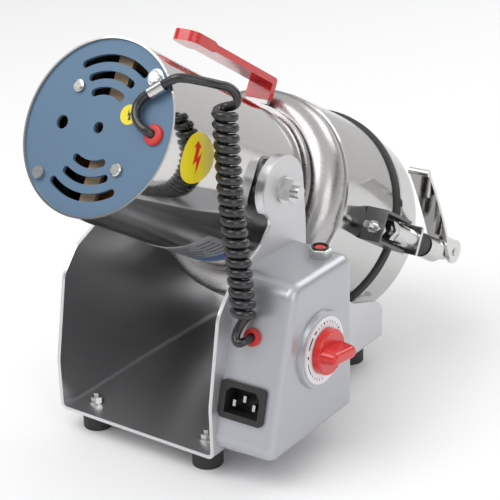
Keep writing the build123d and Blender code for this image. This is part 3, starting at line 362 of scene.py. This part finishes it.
def curlPoints():
    guide = splineThrough("curlGuide", [Vector(p) * mm for p in curlAxis])
    axis = linePoints(guide)
    bpy.data.objects.remove(guide)
    lengths = [0.0]
    for a, b in zip(axis, axis[1:]):
        lengths.append(lengths[-1] + (b - a).length)
    total = lengths[-1]
    margin = leadShape["diameter"] * mm / 2
    count = int(leadShape["turns"] * leadShape["stepsPerTurn"])
    points = []
    segment = 0
    for step in range(count + 1):
        along = margin + (total - 2 * margin) * step / count
        while segment < len(lengths) - 2 and lengths[segment + 1] < along:
            segment += 1
        share = (along - lengths[segment]) / (lengths[segment + 1] - lengths[segment])
        centre = axis[segment].lerp(axis[segment + 1], share)
        heading = (axis[segment + 1] - axis[segment]).normalized()
        side = (acrossDir - heading * acrossDir.dot(heading)).normalized()
        front = side.cross(heading)
        angle = radians(leadShape["firstAngle"]) + 2 * pi * step / leadShape["stepsPerTurn"]
        reach = leadShape["curlRadius"] * mm
        points.append(centre + (side * cos(angle) + front * sin(angle)) * reach)
    return points


def addLead():
    route = [millMatrix @ (Vector(p) * mm) for p in leadOut] + [Vector(p) * mm for p in leadOver]
    route += curlPoints() + [Vector(p) * mm for p in leadIn]
    thin = splineThrough("leadLine", route)
    path = linePoints(thin)
    bpy.data.objects.remove(thin)
    length = sum((b - a).length for a, b in zip(path, path[1:]))
    print("lead length", round(length, 4))
    first, last = len(leadOut) + len(leadOver), len(route) - len(leadIn)
    fat = [(k, leadShape["coilFat"]) for k in range(first, last)]
    lead = splineThrough("powerLead", route, leadShape["diameter"] * mm / 2, fat)
    pickOnly(lead)
    bpy.ops.object.convert(target="MESH")
    lead = bpy.context.object
    lead.name = "powerLead"
    bpy.ops.object.shade_smooth()
    lead.data.materials.clear()
    lead.data.materials.append(materials["cordJacket"])
    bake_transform(lead)
    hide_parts("cord_plate_run", "cord_upper_run", "cord_curl", "cord_box_run")


addLead()
print("lead laid")

# ---- finishes of the carried-over pieces
nodeFinish = {
    "satinSteel": ["front_bracket", "bowl_base", "toothed_liner", "hinge_bracket", "hinge_arm", "handle_bar",
                   "grinding_blades", "lid_inner_plate"],
    "standSteel": ["stand_frame"],
    "polishedSteel": ["motor_housing", "latch_lever"],
    "bowlSteel": ["bowl_wall", "lid_shell"],
    "endPlate": ["rear_end_plate"],
    "silverPaint": ["control_box"],
    "blackRubber": ["rubber_feet", "lid_gasket", "latch_buffer"],
    "blackPlastic": ["inlet_socket", "timer_body", "breaker_body", "trunnion_bushes", "cooling_fan"],
    "redPlastic": ["timer_knob", "reset_button"],
    "redCoating": ["handle_grip"],
    "redRubber": ["box_grommet", "plate_grommet"],
    "dialMetal": ["dial_plate"],
    "platedSteel": ["foot_fasteners", "inlet_pins", "breaker_collar", "timer_shaft", "plate_screws",
                    "cord_clip", "brush_holders", "trunnion_studs", "trunnion_nuts", "hinge_pin",
                    "bracket_bolt", "blade_nut", "latch_lug", "latch_rod", "latch_nut", "latch_sleeves",
                    "lever_pin"],
    "darkSteel": ["latch_bracket"],
    "laminations": ["stator_core", "armature"],
    "copper": ["field_coils", "commutator"],
    "carbon": ["carbon_brushes"],
    "tanBoard": ["bearing_bridge"],
    "cordJacket": ["cord_plate_run", "cord_upper_run", "cord_curl", "cord_box_run"],
    "bearingSteel": ["motor_bearings", "rotor_shaft", "blade_spacers"],
}
materials["bearingSteel"] = makeFinish("bearingSteel", {**finishes["platedSteel"], "roughness": 0.3})


def dressNodes():
    for finishName, nodes in nodeFinish.items():
        for node in nodes:
            piece = frame["nodes"][node]
            for holder in piece.material_slots:
                holder.material = materials[finishName]


dressNodes()
bare = sorted(set(frame["nodes"]) - {n for nodes in nodeFinish.values() for n in nodes})
print("nodes dressed, left over:", bare)

# ---- flat printed shapes, made lying in x and y and then laid on their surface


def flatShape(name, outline, depth, slices=()):
    curve = bpy.data.curves.new(name, "CURVE")
    curve.dimensions = "2D"
    curve.fill_mode = "BOTH"
    curve.extrude = depth * mm / 2
    spline = curve.splines.new("POLY")
    spline.points.add(len(outline) - 1)
    for knot, place in zip(spline.points, outline):
        knot.co = (place[0] * mm, place[1] * mm, 0, 1)
    spline.use_cyclic_u = True
    shape = bpy.data.objects.new(name, curve)
    bpy.context.collection.objects.link(shape)
    pickOnly(shape)
    bpy.ops.object.convert(target="MESH")
    shape = bpy.context.object
    bpy.ops.object.mode_set(mode="EDIT")
    bpy.ops.mesh.select_all(action="SELECT")
    bpy.ops.mesh.remove_doubles(threshold=1e-7)
    for x in slices:
        bpy.ops.mesh.select_all(action="SELECT")
        bpy.ops.mesh.bisect(plane_co=(x * mm, 0, 0), plane_no=(1, 0, 0))
    bpy.ops.mesh.select_all(action="SELECT")
    bpy.ops.mesh.normals_make_consistent(inside=False)
    bpy.ops.object.mode_set(mode="OBJECT")
    shape.name = name
    return shape


def roundOutline(radius, count=64):
    return [(radius * cos(2 * pi * k / count), radius * sin(2 * pi * k / count)) for k in range(count)]


def boxOutline(x0, x1, y0, y1, corner=0.0):
    if not corner:
        return [(x0, y0), (x1, y0), (x1, y1), (x0, y1)]
    outline = []
    for cx, cy, start in ((x1 - corner, y0 + corner, -90), (x1 - corner, y1 - corner, 0),
                          (x0 + corner, y1 - corner, 90), (x0 + corner, y0 + corner, 180)):
        outline += [(cx + corner * cos(radians(start + 15 * k)), cy + corner * sin(radians(start + 15 * k)))
                    for k in range(7)]
    return outline


def boltOutline(scale):
    zigzag = [(-0.28, 1.0), (0.10, 0.18), (0.34, 0.52), (0.50, -0.62), (0.72, -0.50), (0.42, -1.0),
              (-0.06, -0.70), (0.12, -0.64), (0.10, -0.02), (-0.18, -0.36)]
    return [(x * scale, y * scale) for x, y in reversed(zigzag)]


def layOnHousing(piece, angle, z, radius):
    for v in piece.data.vertices:  # x runs round the housing, y along it
        turn = radians(angle) + v.co.x / (radius * mm)
        reach = radius * mm + v.co.z
        v.co = millMatrix @ Vector((reach * cos(turn), reach * sin(turn), z * mm + v.co.y))
    piece.data.update()
    pickOnly(piece)
    bpy.ops.object.mode_set(mode="EDIT")
    bpy.ops.mesh.select_all(action="SELECT")
    bpy.ops.mesh.normals_make_consistent(inside=False)
    bpy.ops.object.mode_set(mode="OBJECT")


housingRadius = 54.5
warningLabel = {"angle": -2.5, "z": 84.5, "radius": 15.4, "film": 0.16, "mark": 9.5, "ink": 0.1,
                "filmLift": 0.12, "inkLift": 0.22}


def addWarningLabel():
    slices = [-15 + 1.5 * k for k in range(21)]  # cuts that let the film bend round the housing
    film = flatShape("warningFilm", roundOutline(warningLabel["radius"]), warningLabel["film"], slices)
    layOnHousing(film, warningLabel["angle"], warningLabel["z"], housingRadius + warningLabel["filmLift"])
    wear(film, "yellowFilm", "mill")
    mark = flatShape("warningMark", [(-y, x) for x, y in boltOutline(warningLabel["mark"])][::-1],
                     warningLabel["ink"], slices)
    layOnHousing(mark, warningLabel["angle"], warningLabel["z"], housingRadius + warningLabel["inkLift"])
    wear(mark, "redInk", "mill")


dataPlate = {"angle": -80.0, "z": 5.0, "half": 31.0, "rear": 22.0, "front": -25.0, "band": -12.0,
             "corner": 3.0, "bandInset": 1, "bandCorner": 2.0, "foil": 0.2, "foilLift": 0.15, "ink": 0.08,
             "inkLift": 0.27, "rows": 5, "firstRow": 4.0, "rowStep": 5.6, "boldBar": 2.6, "fineBar": 1.2}


def addDataPlate():
    p = dataPlate
    slices = [-30 + 2.5 * k for k in range(25)]
    foilOutline = boxOutline(-p["half"], p["half"], p["front"], p["rear"], p["corner"])
    foil = flatShape("dataFoil", foilOutline, p["foil"], slices)
    layOnHousing(foil, p["angle"], p["z"], housingRadius + p["foilLift"])
    wear(foil, "plateFoil", "mill")
    bandHalf = p["half"] - p["bandInset"]
    bandOutline = boxOutline(-bandHalf, bandHalf, p["front"] + p["bandInset"], p["band"], p["bandCorner"])
    band = flatShape("dataBand", bandOutline, p["ink"], slices)
    layOnHousing(band, p["angle"], p["z"], housingRadius + p["inkLift"])
    wear(band, "blueInk", "mill")
    rows = []
    for row in range(p["rows"]):
        low = p["band"] + p["firstRow"] + row * p["rowStep"]
        columns = ((-27, -8 - 2 * (row % 2), p["boldBar"]), (-4, 8 + 3 * (row % 3), p["fineBar"]),
                   (16, 27, p["fineBar"]))
        for start, end, high in columns:
            rows.append(boxOutline(start, end, low, low + high))
    bars = [flatShape("dataBars", outline, p["ink"], slices) for outline in rows]
    for bar in bars:
        layOnHousing(bar, p["angle"], p["z"], housingRadius + p["inkLift"])
    bars = joinAs("dataBars", bars)
    wear(bars, "blackInk", "mill")


plateBadge = {"x": 19.2, "y": 10.7, "radius": 6.0, "mark": 3.4, "film": 0.16, "ink": 0.1,
              "filmLift": 0.1, "inkLift": 0.1}


def addPlateBadge():
    place = Vector((plateBadge["x"], plateBadge["y"], plateFace + plateBadge["filmLift"]))
    lay = millMatrix @ Matrix.Translation(place * mm)
    film = flatShape("badgeFilm", roundOutline(plateBadge["radius"]), plateBadge["film"])
    setInPlace(film, lay)
    wear(film, "yellowFilm", "mill")
    mark = flatShape("badgeMark", boltOutline(plateBadge["mark"]), plateBadge["ink"])
    setInPlace(mark, Matrix.Translation(rearDir * plateBadge["inkLift"] * mm) @ lay)
    wear(mark, "blackInk", "mill")


addWarningLabel()
addDataPlate()
addPlateBadge()
print("labels laid")

# ---- dial: ticks, longer marks and a sweep, all generic
dial = {"y": -41.7, "z": 77.0, "face": 106.7, "inner": 17.6, "outer": 19.2, "rim": 20.6, "ink": 0.08,
        "paper": 0.05, "lift": 0.04, "ticks": 30, "firstTick": -30, "tickStep": 10,
        "bare": (112, 216), "dashes": ((118, 126), (133, 158), (170, 176)), "arc": (186, 214),
        "arcInner": 18.2, "arcOuter": 18.8, "dashInner": 17.8, "longEvery": 6, "longTick": 2.2,
        "shortTick": 0.9}


def dialMatrix(lift):
    turnToFace = Matrix(((0, 0, 1), (1, 0, 0), (0, 1, 0))).to_4x4()
    return Matrix.Translation(Vector((dial["face"] + lift, dial["y"], dial["z"])) * mm) @ turnToFace


def ringSweep(inner, outer, start, end, step=6):
    count = int(abs(end - start) / step) + 1
    angles = [radians(start + (end - start) * k / count) for k in range(count + 1)]
    return ([(outer * cos(a), outer * sin(a)) for a in angles]
            + [(inner * cos(a), inner * sin(a)) for a in reversed(angles)])


def addDial():
    marks = []
    for k in range(dial["ticks"]):
        angle = dial["firstTick"] + dial["tickStep"] * k
        if dial["bare"][0] < angle < dial["bare"][1]:
            continue
        wide = dial["longTick"] if k % dial["longEvery"] == 0 else dial["shortTick"]
        tick = ringSweep(dial["inner"], dial["outer"], angle - wide, angle + wide)
        marks.append(flatShape("dialMarks", tick, dial["ink"]))
    arc = ringSweep(dial["arcInner"], dial["arcOuter"], *dial["arc"])
    marks.append(flatShape("dialMarks", arc, dial["ink"]))
    for start, end in dial["dashes"]:
        dash = ringSweep(dial["dashInner"], dial["outer"], start, end)
        marks.append(flatShape("dialMarks", dash, dial["ink"]))
    marks = joinAs("dialMarks", marks)
    setInPlace(marks, dialMatrix(dial["lift"]))
    wear(marks, "blackInk", "stand")
    face = flatShape("dialFace", roundOutline(dial["rim"], 96), dial["paper"])
    setInPlace(face, dialMatrix(0.0))
    wear(face, "whiteInk", "stand")


addDial()
print("dial marked")

# ---- studio
studio = {
    "floorHalf": 4.0, "sky": 0.9, "low": (0.80, 0.79, 0.785), "high": (1.0, 1.0, 1.0), "highFrom": 0.75,
    "bands": ((0.16, 0.85), (0.24, 0.22), (0.42, 0.25), (0.5, 0.9)),
    "lamps": {
        "key": {"place": (-0.5, -0.9, 1.7), "target": (0, 0, 0.15), "size": 1.5, "power": 20},
        "fill": {"place": (1.7, -0.7, 0.9), "target": (0, 0, 0.12), "size": 1.2, "power": 7},
        "rim": {"place": (0.4, 1.6, 1.3), "target": (0, 0, 0.15), "size": 1.2, "power": 9},
    },
}


def addStudio():
    clearPick()
    bpy.ops.mesh.primitive_plane_add(size=2 * studio["floorHalf"], location=(0, 0, 0))
    floor = bpy.context.object
    floor.name = "studioFloor"
    floor.data.materials.append(materials["studioFloor"])
    for name, look in studio["lamps"].items():
        lamp = bpy.data.lights.new(name, "AREA")
        lamp.shape = "SQUARE"
        lamp.size = look["size"]
        lamp.energy = look["power"]
        holder = bpy.data.objects.new(name, lamp)
        holder.location = look["place"]
        aim = Vector(look["target"]) - Vector(look["place"])
        holder.rotation_euler = aim.to_track_quat("-Z", "Y").to_euler()
        bpy.context.collection.objects.link(holder)
    world = bpy.data.worlds.new("studio")
    bpy.context.scene.world = world
    world.use_nodes = True
    tree = world.node_tree
    background = tree.nodes["Background"]
    place = newNode(tree, "ShaderNodeTexCoord", -800, 0)
    split = newNode(tree, "ShaderNodeSeparateXYZ", -600, 0)
    ramp = newNode(tree, "ShaderNodeValToRGB", -400, 0)
    ramp.color_ramp.elements[0].position = 0.0
    ramp.color_ramp.elements[0].color = (*studio["low"], 1)
    ramp.color_ramp.elements[1].position = studio["highFrom"]
    ramp.color_ramp.elements[1].color = (*studio["high"], 1)
    for share, level in studio["bands"]:
        band = ramp.color_ramp.elements.new(share)
        band.color = (level, level, level, 1)
    tree.links.new(place.outputs["Generated"], split.inputs["Vector"])
    tree.links.new(split.outputs["Z"], ramp.inputs["Fac"])
    tree.links.new(ramp.outputs["Color"], background.inputs["Color"])
    background.inputs["Strength"].default_value = studio["sky"]
    bpy.context.scene.view_settings.view_transform = "Standard"


addStudio()
print("studio lit")
